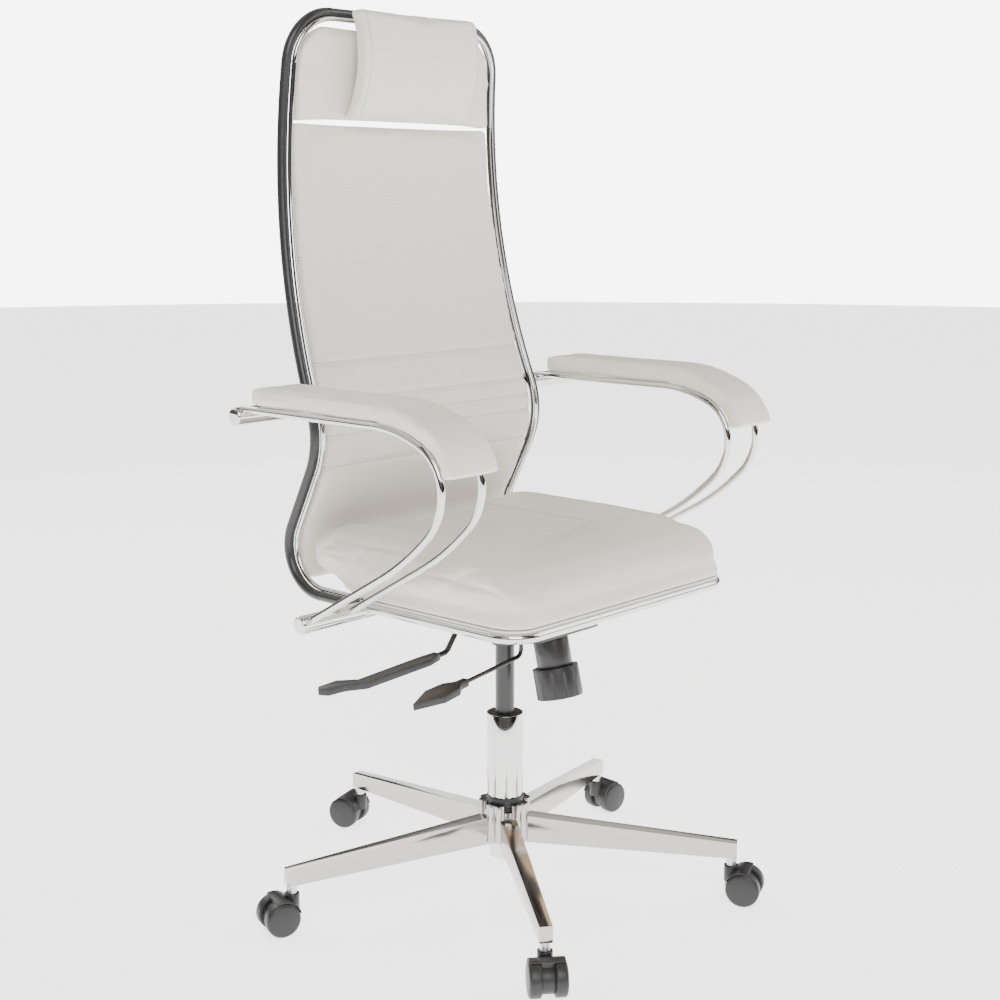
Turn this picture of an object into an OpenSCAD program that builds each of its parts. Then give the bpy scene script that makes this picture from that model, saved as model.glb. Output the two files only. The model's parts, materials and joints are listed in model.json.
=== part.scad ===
// High-back office swivel chair on a five-arm castor base.
// Millimetres, +Z up. The seat faces -Y and the sitter's left is +X.
// The origin is on the floor, on the axis of the gas column.

/* [Seat and back] */
// Outer width of the chrome seat rim
seat_w = 480; // [400:1:580]
// Column axis to the front face of the seat rim
seat_front = 236; // [190:1:290]
// Height of the seat rim tube's centre above the floor
rim_h = 466; // [450:1:560]
// Top of the back above the rim tube's centre
back_rise = 819; // [640:1:990]
// Diameter of the seat rim tube and of the back frame tube
tube_d = 14; // [10:0.5:20]
// Bend radius of the seat rim's front corners
rim_corner_r = 42; // [25:1:70]
// Bend radius of the loop behind the seat
loop_r = 64; // [50:1:80]
// Distance of the waist of the back behind the column axis
waist_y = 145.5; // [120:0.5:170]
// Height of the waist above the rim
waist_rise = 224; // [180:1:280]
// Bend radius at the waist
waist_r = 112; // [80:1:140]
// Lean of the straight run between loop and waist
waist_a = 27; // [15:1:35]
// Radius of the long curve of the back
back_r = 990; // [800:10:1400]
// Height above the rim where the back reaches furthest to the rear
crown_rise = 629; // [520:1:760]
// Inward lean of each upper rail
taper_a = 3; // [0:0.5:5]
// Bend radius of the back frame's top corners
top_corner_r = 73; // [50:1:100]
// Diameter of the chrome bead along the back frame
bead_d = 7; // [5:0.5:9]

/* [Upholstery] */
// Height of the seat cushion over its bolsters
cushion_h = 72; // [50:1:100]
// Rear end of the seat cushion behind the column axis
cushion_rear = 186; // [140:1:188]
// Thickness of the padded back panel
panel_t = 18; // [12:1:30]
// Height of the leather head panel
head_h = 146; // [110:1:200]
// Width of the head pillow
pillow_w = 236; // [180:1:300]
// Thickness of the head pillow
pillow_t = 26; // [18:1:34]
// Gap behind the head pillow
pillow_gap = 22; // [12:1:30]
// Thickness of the plywood seat board
board_t = 12; // [9:1:18]
// Thickness of the black strip between rim and cushion
gasket_t = 3; // [2:0.5:5]

/* [Armrests] */
// Half span between the outer arm rods
arm_x = 338; // [300:1:400]
// Spacing of the two rods of one armrest
rod_gap = 72; // [50:1:90]
// Diameter of an arm rod
rod_d = 10; // [7:0.5:13]
// Height of the flat run of the rods above the rim
arm_rise = 273; // [220:1:320]
// Diameter of the two cross tubes
cross_d = 25; // [20:0.5:32]
// How far a cross tube runs past the outer rod's centre
cross_over = 11; // [8:1:20]
// Distance of the lower cross tube behind the column axis
cross_y = 50; // [40:1:70]
// Width of an armrest pad
pad_w = 84; // [74:1:110]
// Thickness of an armrest pad
pad_t = 24; // [16:1:34]

/* [Column] */
// Diameter of the gas spring's stem
stem_d = 28; // [22:0.5:34]
// Diameter of the column's outer tube
column_d = 50; // [44:1:60]
// Wall of the column's outer tube
column_wall = 2.5; // [2:0.5:4]
// Wall of the chrome sleeve over the column
sleeve_wall = 2; // [1.5:0.5:3]
// Top of the chrome sleeve above the floor
sleeve_top = 271; // [240:1:290]
// Foot of the chrome sleeve above the floor
sleeve_foot = 144; // [130:1:170]
// Radial running clearance of turning and sliding pieces
run = 0.05; // [0.02:0.01:0.1]

/* [Base] */
// Radius of the castor circle
base_r = 337; // [280:1:405]
// Height of an arm's end top above the floor
arm_end_top = 90; // [85:1:110]
// Height of an arm's end face
arm_end_h = 23; // [18:1:30]
// Width of an arm's end
arm_end_w = 18; // [17:1:26]
// Height of an arm at the hub
arm_root_h = 42; // [34:1:52]
// Width of an arm at the hub
arm_root_w = 25; // [20:1:34]
// Height of an arm's top at the hub above the floor
arm_root_top = 117; // [108:1:130]
// Diameter of the ribbed hub
hub_d = 78; // [72:1:96]

/* [Castors] */
// Diameter of a castor wheel
wheel_d = 50; // [42:1:60]
// Width of one wheel
wheel_w = 17; // [12:0.5:20]
// Width of the hood's web between the wheels
web_w = 18; // [14:0.5:24]
// Swivel axis to wheel axle
trail = 21; // [16:1:28]
// Diameter of a wheel axle
axle_d = 6; // [5:0.5:8]
// Diameter of a castor's stem
castor_stem_d = 11; // [8:0.5:12]

/* [Mechanism] */
// Half width of the tilt housing
mech_x = 62; // [50:1:80]
// Depth of the tilt housing's flat floor below the rim
mech_drop = 71; // [60:1:76]
// Height of the housing's side walls
mech_wall_h = 43; // [36:1:46]
// Sheet thickness of the housing
sheet = 3; // [2:0.5:4]
// Diameter of the tilt axle
pivot_d = 12; // [10:0.5:16]
// Distance of the tilt axle behind the column axis
pivot_y = 32; // [30:1:40]
// Forward lean of the tension unit
tension_a = 13; // [5:1:20]
// Diameter of the tension cup
cup_d = 51; // [42:1:56]
// Length of the tension cup
cup_l = 50; // [40:1:60]
// Diameter of the tension knob
knob_d = 66; // [54:1:76]
// Length of the tension knob
knob_l = 44; // [34:1:52]
// Diameter of the height lever's rod
lever_d = 6; // [5:0.5:8]
// Diameter of the tilt lever's rod
lock_d = 8; // [6:0.5:10]

/* [Hidden] */

$fn = 64;
eps = 0.01;
weld_l = 1.2;
weld_h = 0.2;
weld_gap = 0.3;

// Directions of the five base arms and headings of their castors, degrees from +X
arm_az = [159, 87, 15, -57, -129];
castor_az = [161, 108, -5, -67, -131];

// Back frame path in the side plane, as [y, z, heading]
rim_z = rim_h;
rail_x = seat_w / 2 - tube_d / 2;
waist_z = rim_z + waist_rise;
waist_cy = waist_y + waist_r;
crown_z = rim_z + crown_rise;
bar_z = rim_z + back_rise - tube_d / 2;
lean_a = asin((crown_z - waist_z) / (back_r + waist_r));
nod_a = asin((bar_z - top_corner_r - crown_z) / back_r);
run_top = [waist_cy - waist_r * cos(waist_a), waist_z - waist_r * sin(waist_a)];
loop_cz = rim_z + loop_r;
run_l = (run_top[1] - loop_cz - loop_r * sin(waist_a)) / cos(waist_a);
loop_cy = run_top[0] + run_l * sin(waist_a) - loop_r * cos(waist_a);
back_start = cross_y + cross_d / 2 - 1;
back_side = [[loop_cy - back_start, 0], [loop_r, 90 + waist_a], [run_l, 0],
    [waist_r, -(waist_a + lean_a)]];
crown_seg = [back_r, lean_a + nod_a];
split = trace([back_start, rim_z, 0], back_side, 4);

// Cross tubes and arm rods
cross_half = arm_x + cross_over;
lower_z = rim_z - 4.5;
upper_z = rim_z + 263;
bead_off = ((tube_d + bead_d) / 2 + 2 * weld_h + 0.4) * cos(45);
panel_in = bead_off + bead_d / 2 + 2.2;
upper_slope = (back_y_at(upper_z + 1) - back_y_at(upper_z - 1)) / 2;
upper_y = back_y_at(upper_z) + (tube_d / 2 + cross_d / 2 + weld_h + 0.1) * sqrt(1 + pow(upper_slope, 2));
rod_z = rim_z + arm_rise;
rod_arcs = [[200, 25], [60, 65], [80, 45], [400, 15]];
arc_end = trace([0, 0, 180], rod_arcs, 4);
rod_low_l = (rod_z + arc_end[1] - lower_z) / sin(30);
rod_top_l = upper_y + arc_end[0] + rod_low_l * cos(30) - cross_y;
rod_path = [[rod_top_l, 0], rod_arcs[0], rod_arcs[1], rod_arcs[2], rod_arcs[3], [rod_low_l, 0]];
pad_x = arm_x - rod_gap / 2;

// Seat stack
gasket_z = rim_z + tube_d / 2;
board_z = gasket_z + gasket_t;
cushion_top = board_z + cushion_h;
seat_edge_x = seat_w / 2 - 4;
seat_edge_y = seat_front - 4;
board_in = 14;
board_rear = 98;
screw_x = [-73.5, 73.5];
screw_y = [-135, 20];
screw_in = 8;

// Column
bush_wall = (column_d - 2 * column_wall - stem_d) / 2 - run;
mech_floor = rim_z - mech_drop;
socket_z = mech_floor - 19;
stem_top = mech_floor + 21;
stem_foot = 146;
piston_z = 240;
column_foot = 50;
hub_foot = 79;
taper_d = column_d - 3.5;

// Base
arm_len = base_r + 8;
boss_z = 54;

// Tension unit: a frame whose +Z axis points down the unit
tension_y = -87;
tension_z = mech_floor + (-tension_y - 55) * tan(tension_a);
pivot_z = mech_floor + 31;
lever_y = -60;
lever_x = -32;
lock_y = 50;
lock_x = -40;
lever_z = mech_floor + 17;

function advance(s, seg) = seg[1] == 0
    ? [s[0] + seg[0] * cos(s[2]), s[1] + seg[0] * sin(s[2]), s[2]]
    : let (k = sign(seg[1]), h = s[2] + seg[1],
        cy = s[0] - k * seg[0] * sin(s[2]), cz = s[1] + k * seg[0] * cos(s[2]))
        [cy + k * seg[0] * sin(h), cz - k * seg[0] * cos(h), h];

function trace(s, segs, n) = n == 0 ? s : advance(trace(s, segs, n - 1), segs[n - 1]);

// Points beside a path, off to the left of its heading
function beside(s, segs, off, step = 6) = [for (i = [0 : len(segs) - 1])
    let (a = trace(s, segs, i), g = segs[i], m = g[1] == 0 ? 1 : ceil(abs(g[1]) / step))
    for (j = [0 : m]) if (j > 0 || i == 0)
        let (p = g[1] == 0 ? advance(a, [g[0] * j / m, 0]) : advance(a, [g[0], g[1] * j / m]))
        [p[0] - off * sin(p[2]), p[1] + off * cos(p[2])]];

function reversed(list) = [for (i = [len(list) - 1 : -1 : 0]) list[i]];

// Rear distance of the back frame's centre at a height above the split
function back_y_at(z) = z > split[1]
    ? waist_cy - (back_r + waist_r) * cos(lean_a) + sqrt(pow(back_r, 2) - pow(z - crown_z, 2))
    : waist_cy - sqrt(pow(waist_r, 2) - pow(z - waist_z, 2));

// Half width of the back frame's centre line at a height
function back_x_at(z) = z > split[1] ? rail_x - (z - split[1]) * tan(taper_a) : rail_x;

// Side plane: local X runs to +Y, local Y to +Z
module side_plane(x = 0) {
    translate([x, 0, 0]) rotate([90, 0, 90]) children();
}

// One straight or arc of a tube, cut back by t0 and t1 at its ends
module tube_run(s, seg, d, t0, t1) {
    if (seg[1] == 0) {
        translate([s[0], s[1], 0]) rotate([0, 0, s[2]]) translate([t0, 0, 0]) rotate([0, 90, 0])
            cylinder(d = d, h = seg[0] - t0 - t1);
    } else {
        k = sign(seg[1]);
        a0 = t0 / seg[0] * 180 / PI;
        a1 = t1 / seg[0] * 180 / PI;
        cy = s[0] - k * seg[0] * sin(s[2]);
        cz = s[1] + k * seg[0] * cos(s[2]);
        start = k > 0 ? s[2] - 90 + a0 : s[2] + 90 + seg[1] + a1;
        translate([cy, cz, 0]) rotate([0, 0, start])
            rotate_extrude(angle = abs(seg[1]) - a0 - a1) translate([seg[0], 0]) circle(d = d);
    }
}

// Weld ring that joins two runs of one tube
module weld(s, d) {
    translate([s[0], s[1], 0]) rotate([0, 0, s[2]]) rotate([0, 90, 0]) translate([0, 0, -weld_l])
        cylinder(d = d + 2 * weld_h, h = 2 * weld_l);
}

module tube_path(s, segs, d, tail = 0) {
    n = len(segs);
    for (i = [0 : n - 1])
        tube_run(trace(s, segs, i), segs[i], d, i == 0 ? 0 : weld_gap, i == n - 1 ? tail : weld_gap);
    for (i = [1 : n - 1]) weld(trace(s, segs, i), d);
}

module both_sides() {
    children();
    mirror([1, 0, 0]) children();
}

// Centre line of one back rail, shifted forward by off and inward by inset
function rail_start(off) = [back_start, rim_z + off, 0];
function rail_segs(off) = [back_side[0], [loop_r - off, back_side[1][1]], back_side[2],
    [waist_r + off, back_side[3][1]]];
function rail_knee(off) = trace(rail_start(off), rail_segs(off), 4);
function rail_crown(off) = [back_r - off, crown_seg[1]];
function rail_end(off) = let (k = rail_knee(off)) advance([k[0], 0, k[2]], rail_crown(off));

// End of a top corner, where the top bar begins, as [x, y, z]
function corner_end(off, inset) = let (e = rail_end(off), c = top_corner_r - inset,
    x = -c * (1 - sin(taper_a)), z = e[1] + c * cos(taper_a) * cos(nod_a))
    [rail_x - inset + x * cos(taper_a) - z * sin(taper_a), e[0] - c * cos(taper_a) * sin(nod_a),
        rail_knee(off)[1] + x * sin(taper_a) + z * cos(taper_a)];

module back_rail(off, inset, d) {
    knee = rail_knee(off);
    end = rail_end(off);
    corner = top_corner_r - inset;
    trim_a = weld_gap / corner * 180 / PI;
    side_plane(rail_x - inset) {
        tube_path(rail_start(off), rail_segs(off), d, weld_gap);
        weld(knee, d);
    }
    translate([rail_x - inset, 0, knee[1]]) rotate([0, -taper_a, 0]) {
        side_plane() {
            tube_run([knee[0], 0, knee[2]], rail_crown(off), d, weld_gap, weld_gap);
            weld(end, d);
        }
        translate([0, end[0], end[1]]) rotate([nod_a, 0, 0]) translate([-corner, 0, 0])
            rotate([90, 0, 0]) rotate([0, 0, trim_a])
            rotate_extrude(angle = 90 - taper_a - 2 * trim_a) translate([corner, 0]) circle(d = d);
    }
}

module back_loop(off, inset, d) {
    e = corner_end(off, inset);
    both_sides() {
        back_rail(off, inset, d);
        translate([e[0] - weld_l, e[1], e[2]]) rotate([0, 90, 0])
            cylinder(d = d + 2 * weld_h, h = 2 * weld_l);
    }
    translate([-e[0] + weld_gap, e[1], e[2]]) rotate([0, 90, 0])
        cylinder(d = d, h = 2 * (e[0] - weld_gap));
}

module back_frame() {
    color("#1c1c1e") difference() {
        back_loop(0, 0, tube_d);
        cross_bar(lower_z, cross_y, cross_d);
    }
}

module back_bead() {
    color("#d9dadd") back_loop(bead_off, bead_off, bead_d);
}

module cross_bar(z, y, d) {
    translate([-cross_half, y, z]) rotate([0, 90, 0]) cylinder(d = d, h = 2 * cross_half);
}

module seat_rim() {
    front = -seat_front + tube_d / 2;
    segs = [[cross_y - front - rim_corner_r, 0], [rim_corner_r, -90],
        [2 * (rail_x - rim_corner_r), 0], [rim_corner_r, -90], [cross_y - front - rim_corner_r, 0]];
    color("#d9dadd") difference() {
        translate([0, 0, rim_z]) tube_path([rail_x, cross_y, -90], segs, tube_d);
        cross_bar(lower_z, cross_y, cross_d);
    }
}

module cross_tube(z, y) {
    difference() {
        cross_bar(z, y, cross_d);
        translate([-cross_half - 1, y, z]) rotate([0, 90, 0])
            cylinder(d = cross_d - 4, h = 2 * cross_half + 2);
    }
}

module lower_cross_tube() {
    color("#d0d1d4") cross_tube(lower_z, cross_y);
}

module upper_cross_tube() {
    color("#d0d1d4") cross_tube(upper_z, upper_y);
}

module tube_cap(z, y) {
    translate([cross_half - 12, y, z]) rotate([0, 90, 0]) cylinder(d = cross_d - 4, h = 12);
    translate([cross_half, y, z]) rotate([0, 90, 0]) cylinder(d1 = cross_d, d2 = cross_d - 4, h = 3);
}

module tube_caps() {
    color("#c4c5c8") both_sides() {
        tube_cap(lower_z, cross_y);
        tube_cap(upper_z, upper_y);
    }
}

module arm_rod(x) {
    difference() {
        side_plane(x) tube_path([upper_y, rod_z, 180], rod_path, rod_d);
        cross_bar(lower_z, cross_y, cross_d);
        cross_bar(upper_z, upper_y, cross_d);
    }
}

module arm_rods(side) {
    color("#c9cacd") for (x = [arm_x, arm_x - rod_gap]) arm_rod(side * x);
}

module arm_pad(side) {
    rear = 24;
    s = [upper_y - rear, rod_z, 180];
    segs = [[rod_top_l - rear, 0], rod_arcs[0], [rod_arcs[1][0], 52]];
    low = beside(s, segs, -rod_d / 2 - 0.4);
    high = beside(s, segs, -rod_d / 2 - pad_t);
    color("#e6e3dd") side_plane(side * pad_x - pad_w / 2)
        linear_extrude(height = pad_w) polygon(concat(low, reversed(high)));
}

module back_outline(inset, z0, z1) {
    hw = rail_x - inset;
    r = top_corner_r - inset;
    e = corner_end(bead_off, 0);
    cz = e[2] - top_corner_r * cos(nod_a);
    step = (90 - taper_a) / 10;
    right = concat([[hw, z0], [hw, split[1]]],
        [for (a = [taper_a : step : 90.01]) [e[0] + r * cos(a), cz + r * sin(a) * cos(nod_a)]]);
    intersection() {
        polygon(concat(right, [for (p = reversed(right)) [-p[0], p[1]]]));
        translate([-hw - 1, z0]) square([2 * hw + 2, z1 - z0]);
    }
}

module back_slab(front, back, z0, z1) {
    s = [back_start, rim_z, 0];
    segs = concat(back_side, [[back_r, lean_a + nod_a + 3]]);
    intersection() {
        side_plane(-rail_x) linear_extrude(height = 2 * rail_x)
            polygon(concat(beside(s, segs, front, 3), reversed(beside(s, segs, -back, 3))));
        rotate([90, 0, 0]) translate([0, 0, -300]) linear_extrude(height = 400)
            back_outline(panel_in, z0, z1);
    }
}

head_z = bar_z - tube_d / 2 - head_h;
module back_panel() {
    color("#dedbd4") back_slab(panel_t - 8, 6, rim_z + tube_d / 2 + 8, head_z - 1);
}

module head_panel() {
    color("#e6e3dd") back_slab(panel_t - 5, 9, head_z, bar_z);
}

module head_pillow() {
    z0 = head_z + 2;
    z1 = bar_z + 2;
    steps = 12;
    arch = [for (i = [0 : steps]) [back_y_at(min(z0 + (z1 - z0) * i / steps, bar_z - 1)) - panel_t + 4.6
        - pillow_gap * sin(180 * i / steps), z0 + (z1 - z0) * i / steps]];
    color("#e8e5df") side_plane(-pillow_w / 2) linear_extrude(height = pillow_w)
        polygon(concat([for (p = arch) [p[0] - pillow_t, p[1]]], reversed(arch)));
}

module rounded(x, y0, y1, r) {
    for (p = [[-x + r, y0 + r], [x - r, y0 + r], [-x + r, y1 - r], [x - r, y1 - r]])
        translate(p) circle(r = r);
    translate([-x + r, y0]) square([2 * (x - r), y1 - y0]);
    translate([-x, y0 + r]) square([2 * x, y1 - y0 - 2 * r]);
}

module seat_outline(inset) {
    rounded(seat_edge_x - inset, -seat_edge_y + inset, cushion_rear - inset, rim_corner_r - inset);
}

module seat_cushion() {
    top = cushion_top;
    yr = cushion_rear;
    yf = -seat_edge_y;
    color("#e6e3dd") difference() {
        intersection() {
            translate([0, 0, board_z]) linear_extrude(height = cushion_h) seat_outline(0);
            side_plane(-300) linear_extrude(height = 600) polygon([[cross_y, board_z - 1],
                [yr, board_z + 30], [yr, top - 22], [yr - 14, top - 8], [yr - 45, top], [yf + 110, top],
                [yf + 45, top - 12], [yf + 12, top - 32], [yf, top - 50], [yf, board_z - 1]]);
        }
        seat_board_solid();
    }
}

module board_outline() {
    intersection() {
        seat_outline(board_in);
        translate([-400, -400]) square([800, 400 + back_start - 4]);
    }
    intersection() {
        seat_outline(board_in + 8);
        translate([-400, 0]) square([800, board_rear]);
    }
}

module seat_board_solid() {
    translate([0, 0, board_z]) linear_extrude(height = board_t) board_outline();
}

module seat_board() {
    color("#c79f66") difference() {
        seat_board_solid();
        for (x = screw_x, y = screw_y) translate([x, y, board_z - 1]) cylinder(d = 6, h = screw_in + 1);
    }
}

module seat_gasket() {
    color("#e6e3dd") translate([0, 0, gasket_z + weld_h]) linear_extrude(height = gasket_t - weld_h)
        difference() {
            seat_outline(1);
            seat_outline(board_in);
            translate([-400, cross_y - cross_d / 2 - 0.5]) square([800, 400]);
        }
}

// Base
module arm_solid() {
    y0 = 8;
    rotate([90, 0, 0]) translate([0, 0, -arm_root_w / 2]) intersection() {
        linear_extrude(height = arm_root_w)
            polygon([[y0, arm_root_top - arm_root_h], [y0, arm_root_top],
                [arm_len, arm_end_top], [arm_len, arm_end_top - arm_end_h],
                [base_r - 14, arm_end_top - arm_end_h]]);
        rotate([-90, 0, 0]) translate([0, -arm_root_w / 2, -200]) linear_extrude(height = 400)
            polygon([[y0, -arm_root_w / 2], [arm_len, -arm_end_w / 2],
                [arm_len, arm_end_w / 2], [y0, arm_root_w / 2]]);
    }
}

module column_bore() {
    top = arm_root_top + 7;
    rotate_extrude() polygon([[0, column_foot - 5], [taper_d / 2, column_foot - 5],
        [taper_d / 2, hub_foot], [column_d / 2, top], [column_d / 2, top + 36], [0, top + 36]]);
}

module star_base() {
    top = arm_root_top + 7;
    post = 17;
    color("#cfd0d3") difference() {
        union() {
            translate([0, 0, hub_foot]) cylinder(d = hub_d - 14, h = top - hub_foot);
            for (a = arm_az) rotate([0, 0, a]) arm_solid();
            translate([0, 0, hub_foot]) linear_extrude(height = top + 12 - hub_foot) difference() {
                for (a = arm_az, s = [-24, 24]) rotate(a + s)
                    translate([hub_d / 2 - post / 2, 0]) circle(d = post);
                circle(d = column_d + 5);
            }
        }
        column_bore();
        for (a = arm_az) rotate([0, 0, a]) translate([base_r, 0, 0])
            cylinder(d = castor_stem_d, h = arm_end_top - 6);
    }
}

module castor_stems() {
    color("#b9babd") for (a = arm_az) rotate([0, 0, a]) translate([base_r, 0, 0]) {
        translate([0, 0, boss_z - 18]) cylinder(d = castor_stem_d, h = arm_end_top - 6 - boss_z + 18);
        translate([0, 0, boss_z + 0.4]) cylinder(d = castor_stem_d + 3.5,
            h = arm_end_top - arm_end_h - boss_z - 0.4);
    }
}

module castor_frame(i) {
    rotate([0, 0, arm_az[i]]) translate([base_r, 0, 0]) rotate([0, 0, castor_az[i] - arm_az[i]])
        children();
}

module castor_hood(i) {
    r = wheel_d / 2;
    w = web_w + 2 * wheel_w - 4;
    color("#151516") castor_frame(i) difference() {
        union() {
            translate([trail, web_w / 2, r]) rotate([90, 0, 0]) cylinder(r = r - 5, h = web_w);
            difference() {
                translate([trail, w / 2, r]) rotate([90, 0, 0]) cylinder(r = r + 2, h = w);
                translate([trail - 50, -50, -10]) cube([100, 100, r + 16]);
                translate([trail + 8, -50, -1]) cube([100, 100, 100]);
            }
            translate([0, 0, 30]) cylinder(d = 21, h = boss_z - 30);
            translate([0, -web_w / 2, 30]) cube([trail, web_w, 14]);
        }
        for (s = [0, 1]) mirror([0, s, 0]) translate([trail, w, r]) rotate([90, 0, 0])
            cylinder(r = r + 0.6, h = w - web_w / 2 + 0.4);
        translate([0, 0, boss_z - 18 - 0.4]) cylinder(d = castor_stem_d + 2 * run, h = 30);
        translate([trail, 50, r]) rotate([90, 0, 0]) cylinder(d = axle_d, h = 100);
    }
}

module castor_axle(i) {
    l = web_w + 2 * wheel_w - 6.4;
    color("#a9abae") castor_frame(i) translate([trail, l / 2, wheel_d / 2]) rotate([90, 0, 0])
        cylinder(d = axle_d, h = l);
}

module castor_wheel(i, s) {
    r = wheel_d / 2;
    color("#121213") castor_frame(i) mirror([0, s > 0 ? 0 : 1, 0])
        translate([trail, web_w / 2, r]) rotate([-90, 0, 0]) difference() {
            rotate_extrude() polygon([[0, 0], [r - 1.5, 0], [r, 1.5], [r, wheel_w - 3],
                [r - 2, wheel_w - 1], [r - 5, wheel_w], [0, wheel_w]]);
            translate([0, 0, -1]) cylinder(d = axle_d + 2 * run, h = wheel_w - 2);
        }
}

// Column
module column_tube() {
    inner = column_d - 2 * column_wall;
    color("#cfd0d3") difference() {
        union() {
            translate([0, 0, column_foot]) cylinder(d = taper_d, h = hub_foot - column_foot);
            translate([0, 0, hub_foot]) cylinder(d1 = taper_d, d2 = column_d,
                h = arm_root_top + 7 - hub_foot);
            translate([0, 0, arm_root_top + 7]) cylinder(d = column_d,
                h = sleeve_top - 3 - arm_root_top - 7);
        }
        translate([0, 0, column_foot + 4]) cylinder(d = inner - 4, h = 80);
        translate([0, 0, column_foot + 70]) cylinder(d = inner, h = 300);
        translate([0, 0, column_foot - 1]) cylinder(d = 10, h = 10);
    }
}

module column_sleeve() {
    outer = column_d + 2 * sleeve_wall;
    color("#d9dadd") difference() {
        union() {
            translate([0, 0, sleeve_foot]) cylinder(d1 = outer - 2, d2 = outer, h = 24);
            translate([0, 0, sleeve_foot + 24]) cylinder(d = outer, h = sleeve_top - sleeve_foot - 24);
        }
        translate([0, 0, sleeve_foot - 1]) cylinder(d = column_d, h = 200);
    }
}

module hub_ring() {
    z0 = arm_root_top + 7;
    color("#131314") translate([0, 0, z0]) difference() {
        cylinder(d = column_d + 4.4, h = sleeve_foot - z0);
        translate([0, 0, -1]) cylinder(d = column_d, h = 60);
    }
}

module guide_bush() {
    outer = column_d - 2 * column_wall;
    color("#1a1a1b") difference() {
        union() {
            translate([0, 0, 186]) cylinder(d = outer, h = sleeve_top - 3 - 186);
            translate([0, 0, sleeve_top - 3]) cylinder(d = column_d, h = 3);
        }
        translate([0, 0, 180]) cylinder(d = stem_d + 2 * run, h = 200);
    }
}

module piston_rod() {
    color("#b4b6b9") {
        translate([0, 0, column_foot - 8]) cylinder(d = 10, h = piston_z - column_foot + 8);
        translate([0, 0, piston_z]) cylinder(d = stem_d - 6 - 2 * run, h = 14);
    }
}

module rod_end_washers() {
    color("#8f9194") {
        translate([0, 0, column_foot - 3]) difference() {
            cylinder(d = 22, h = 3);
            translate([0, 0, -1]) cylinder(d = 10, h = 8);
        }
        translate([0, 0, column_foot + 4]) difference() {
            cylinder(d = 26, h = 5);
            translate([0, 0, -1]) cylinder(d = 10, h = 8);
        }
    }
}

module lift_stem() {
    color("#141415") difference() {
        translate([0, 0, stem_foot]) cylinder(d = stem_d, h = stem_top - stem_foot);
        translate([0, 0, stem_foot - 1]) cylinder(d = 10 + 2 * run, h = 12);
        translate([0, 0, stem_foot + 10]) cylinder(d = stem_d - 6, h = stem_top - stem_foot - 24);
        translate([0, 0, stem_top - 20]) cylinder(d = 8, h = 30);
    }
}

module valve_pin() {
    color("#9c9ea1") translate([0, 0, stem_top - 14]) cylinder(d = 8, h = 18);
}

// Mechanism
module housing_profile(inset) {
    zf = mech_floor + inset;
    top = mech_floor + mech_wall_h;
    polygon([[70 - inset, zf], [-55, zf], [-125 + inset, zf + (70 - inset) * tan(tension_a)],
        [-125 + inset, top + (inset > 0 ? 1 : 0)], [70 - inset, top + (inset > 0 ? 1 : 0)]]);
}

module lever_lugs(x, y, d) {
    for (s = [-1, 1]) translate([x - 8, y + s * 8 - 2, mech_floor + 1]) difference() {
        cube([16, 4, lever_z - mech_floor + 7]);
        translate([8, -1, lever_z - mech_floor - 1]) rotate([-90, 0, 0]) cylinder(d = 6, h = 6);
    }
}

module tension_axis() {
    translate([0, tension_y, tension_z]) rotate([180 - tension_a, 0, 0]) children();
}

module tilt_housing() {
    color("#202022") difference() {
        union() {
            difference() {
                side_plane(-mech_x) linear_extrude(height = 2 * mech_x) housing_profile(0);
                side_plane(-mech_x + sheet) linear_extrude(height = 2 * (mech_x - sheet))
                    housing_profile(sheet);
            }
            translate([0, 0, socket_z]) cylinder(d = stem_d + 12, h = stem_top - socket_z - 2);
            lever_lugs(lever_x, lever_y, 6);
            lever_lugs(lock_x, lock_y, 6);
        }
        translate([0, 0, socket_z - 1]) cylinder(d = stem_d + 2 * run, h = 80);
        translate([-100, pivot_y, pivot_z]) rotate([0, 90, 0]) cylinder(d = pivot_d, h = 200);
        translate([lever_x - 13, lever_y - 5, mech_floor - 10]) cube([20, 10, 20]);
        translate([lock_x - 30, lock_y - 6, mech_floor - 10]) cube([40, 12, 20]);
        tension_axis() translate([0, 0, -20]) cylinder(d = 10, h = 30);
    }
}

module pivot_axle() {
    l = mech_x + 6.5;
    color("#a5a7aa") translate([-l, pivot_y, pivot_z]) rotate([0, 90, 0]) {
        cylinder(d = pivot_d, h = 2 * l);
        translate([0, 0, -3]) cylinder(d = pivot_d + 6, h = 3);
        translate([0, 0, 2 * l]) cylinder(d = pivot_d + 6, h = 3);
    }
}

module lever_pins() {
    color("#a5a7aa") for (p = [[lever_x, lever_y], [lock_x, lock_y]])
        translate([p[0], p[1] - 12, lever_z]) rotate([-90, 0, 0]) cylinder(d = 6, h = 24);
}

module tension_cup() {
    color("#18181a") tension_axis() difference() {
        cylinder(d = cup_d, h = cup_l);
        translate([0, 0, -1]) cylinder(d = cup_d - 6, h = cup_l - 2);
        cylinder(d = 10.4, h = cup_l + 10);
    }
}

module tension_spring() {
    turns = 5;
    wire = 5;
    coil_r = 15;
    sides = 8;
    per = 14;
    n = turns * per;
    h = cup_l - 3 - wire - 1;
    pts = [for (i = [0 : n]) for (j = [0 : sides - 1])
        let (a = 360 * i / per, b = 360 * j / sides, r = coil_r + wire / 2 * cos(b))
        [r * cos(a), r * sin(a), wire / 2 + 0.2 + h * i / n + wire / 2 * sin(b)]];
    faces = concat([[for (j = [sides - 1 : -1 : 0]) j]],
        [for (i = [0 : n - 1]) for (j = [0 : sides - 1]) let (k = (j + 1) % sides)
            [i * sides + j, i * sides + k, (i + 1) * sides + k, (i + 1) * sides + j]],
        [[for (j = [0 : sides - 1]) n * sides + j]]);
    color("#6f7175") tension_axis() polyhedron(pts, faces, convexity = 8);
}

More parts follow.
